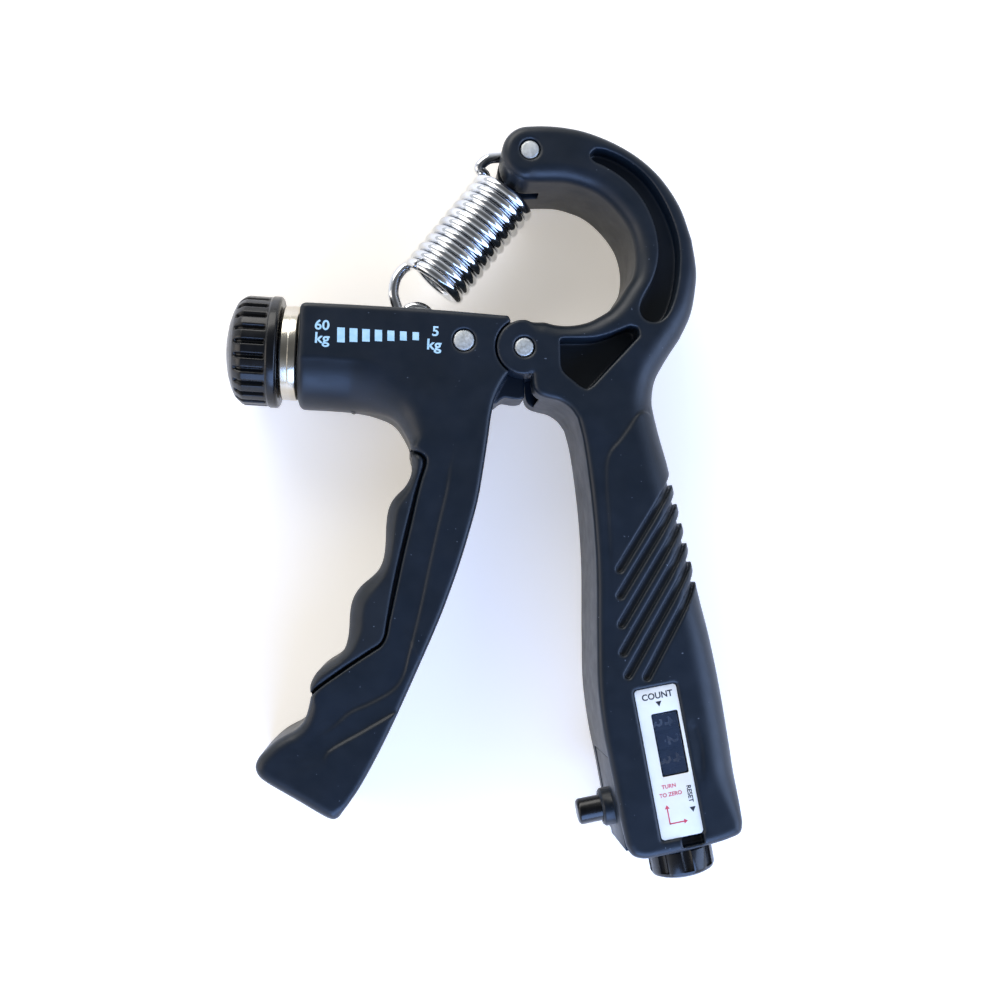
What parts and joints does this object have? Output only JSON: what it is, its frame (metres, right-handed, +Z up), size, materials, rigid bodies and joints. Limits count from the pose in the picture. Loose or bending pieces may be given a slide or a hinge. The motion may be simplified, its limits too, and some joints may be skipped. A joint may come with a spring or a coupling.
{
  "type": "hand grip trainer",
  "caption": "Spring hand-grip trainer: two hinged handles under a coil spring, a knob that sets the force, and a press counter with a reset knob.",
  "frame": {"origin": "centre of the outline on the surface the trainer lies on, back face down", "axes": "+X to the right seen from the printed face, towards the main handle; +Y towards the spring bow; +Z up, out of the printed face"},
  "size_m": [0.1108, 0.1626, 0.025],
  "materials": {
    "nylon": "satin, fine moulded grain",
    "soft_grip": "matt, soft touch",
    "gloss_black": "glossy",
    "spring_steel": "bright plated wire",
    "nickel": "nickel plated, turned",
    "rivet": "satin, pressed ends",
    "zinc": "plain, machined",
    "label": "matt print",
    "lens": "clear over a dark inside",
    "wheel": "matt",
    "inner_white": "matt"
  },
  "bodies": {
    "main_handle": {"main_handle": "nylon", "spring_pin": "rivet", "pivot_pin": "rivet", "side_cover": "nylon", "counter_case": "inner_white", "counter_label": "label", "counter_window": "lens", "pinion_shaft": "zinc", "tension_spring": "spring_steel", "button_spring": "zinc"},
    "lever_handle": {"lever_handle": "nylon", "finger_grip": "soft_grip", "retaining_pin": "rivet", "steel_collar": "nickel"},
    "adjust_knob": {"adjust_knob": "gloss_black", "lead_screw": "zinc"},
    "slider": {"slider_nut": "zinc", "hook_pin": "zinc"},
    "count_button": {"count_button": "gloss_black"},
    "units_wheel": {"units_wheel": "wheel"},
    "tens_wheel": {"tens_wheel": "wheel"},
    "hundreds_wheel": {"hundreds_wheel": "wheel"},
    "tens_pinion": {"transfer_pinion_tens": "inner_white"},
    "hundreds_pinion": {"transfer_pinion_hundreds": "inner_white"},
    "reset_knob": {"reset_knob": "gloss_black", "counter_shaft": "zinc"}
  },
  "joints": [
    {"name": "handle_hinge", "type": "hinge", "parent": "main_handle", "child": "lever_handle", "pos_m": [0.0089, 0.03253, 0.0125], "axis": [0, 0, 1], "range_deg": [0, 29], "stiffness_Nm_per_rad": 4, "springref_deg": -20.05, "deforming": ["tension_spring"]},
    {"name": "knob_turn", "type": "hinge", "parent": "lever_handle", "child": "adjust_knob", "pos_m": [-0.0392, 0.03263, 0.0125], "axis": [0.9985, -0.0541, 0], "range_deg": [0, 3600]},
    {"name": "slider_slide", "type": "slide", "parent": "lever_handle", "child": "slider", "axis": [-0.9985, 0.0541, 0], "range_m": [0, 0.0151], "deforming": ["tension_spring"]},
    {"name": "count_button_push", "type": "slide", "parent": "main_handle", "child": "count_button", "axis": [0.9839, 0.1788, 0], "range_m": [0, 0.004], "stiffness_N_per_m": 150, "springref_m": -0.004, "deforming": ["button_spring"]},
    {"name": "units_wheel_turn", "type": "hinge", "parent": "main_handle", "child": "units_wheel", "pos_m": [0.03969, -0.05538, 0.0151], "axis": [-0.1788, 0.9839, 0], "continuous": true},
    {"name": "tens_wheel_turn", "type": "hinge", "parent": "main_handle", "child": "tens_wheel", "pos_m": [0.03969, -0.05538, 0.0151], "axis": [-0.1788, 0.9839, 0], "continuous": true},
    {"name": "hundreds_wheel_turn", "type": "hinge", "parent": "main_handle", "child": "hundreds_wheel", "pos_m": [0.03969, -0.05538, 0.0151], "axis": [-0.1788, 0.9839, 0], "continuous": true},
    {"name": "tens_pinion_turn", "type": "hinge", "parent": "main_handle", "child": "tens_pinion", "pos_m": [0.04688, -0.05408, 0.0151], "axis": [-0.1788, 0.9839, 0], "continuous": true},
    {"name": "hundreds_pinion_turn", "type": "hinge", "parent": "main_handle", "child": "hundreds_pinion", "pos_m": [0.04688, -0.05408, 0.0151], "axis": [-0.1788, 0.9839, 0], "continuous": true},
    {"name": "reset_knob_turn", "type": "hinge", "parent": "main_handle", "child": "reset_knob", "pos_m": [0.03969, -0.05538, 0.0151], "axis": [-0.1788, 0.9839, 0], "continuous": true}
  ],
  "couplings": [
    {"joint": "slider_slide", "follows": "knob_turn", "m_per_rad": 0.00023873},
    {"joint": "count_button_push", "follows": "handle_hinge", "m_per_rad": 0.0079},
    {"joint": "tens_wheel_turn", "follows": "units_wheel_turn", "ratio": 0.1},
    {"joint": "hundreds_wheel_turn", "follows": "units_wheel_turn", "ratio": 0.01},
    {"joint": "tens_pinion_turn", "follows": "units_wheel_turn", "ratio": -0.25},
    {"joint": "hundreds_pinion_turn", "follows": "units_wheel_turn", "ratio": -0.025}
  ]
}
